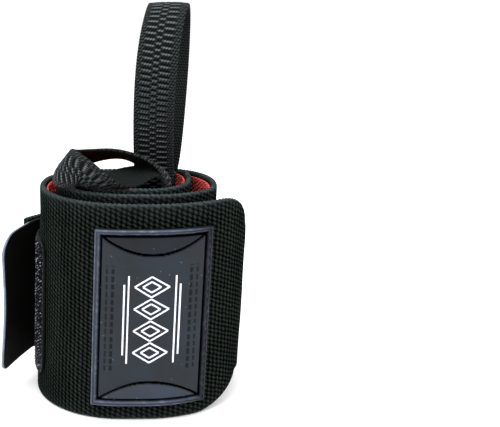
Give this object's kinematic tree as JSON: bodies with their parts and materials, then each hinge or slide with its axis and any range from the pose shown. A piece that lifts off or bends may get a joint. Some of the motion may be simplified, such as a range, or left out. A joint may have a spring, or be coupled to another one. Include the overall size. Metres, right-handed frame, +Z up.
{
  "type": "rolled wrist wrap",
  "caption": "Elastic wrist wrap rolled up and standing on edge, with a moulded badge plate, a hook tab, a hook patch and thumb loops of ribbed webbing.",
  "frame": {"origin": "middle of the bounding box in plan, at the level of the surface it stands on", "axes": "+Z up along the band's width and the upright loop, badge towards -Y, closing tab towards -X"},
  "size_m": [0.0872, 0.0662, 0.1397],
  "materials": {
    "black_knit": "matte coarse elastic knit",
    "red_knit": "matte bumpy knit",
    "moulded_rubber": "satin moulded",
    "tab_strip": "smooth, with a pale edge",
    "hook_tape": "glossy fine hooks",
    "ribbed_webbing": "matte ribbed elastic"
  },
  "bodies": {
    "root": {"band": "black_knit", "red_inner_face": "red_knit", "badge": "moulded_rubber", "hook_tab": "tab_strip", "hook_pad": "hook_tape", "tall_loop": "ribbed_webbing", "small_loop": "ribbed_webbing"}
  },
  "joints": []
}
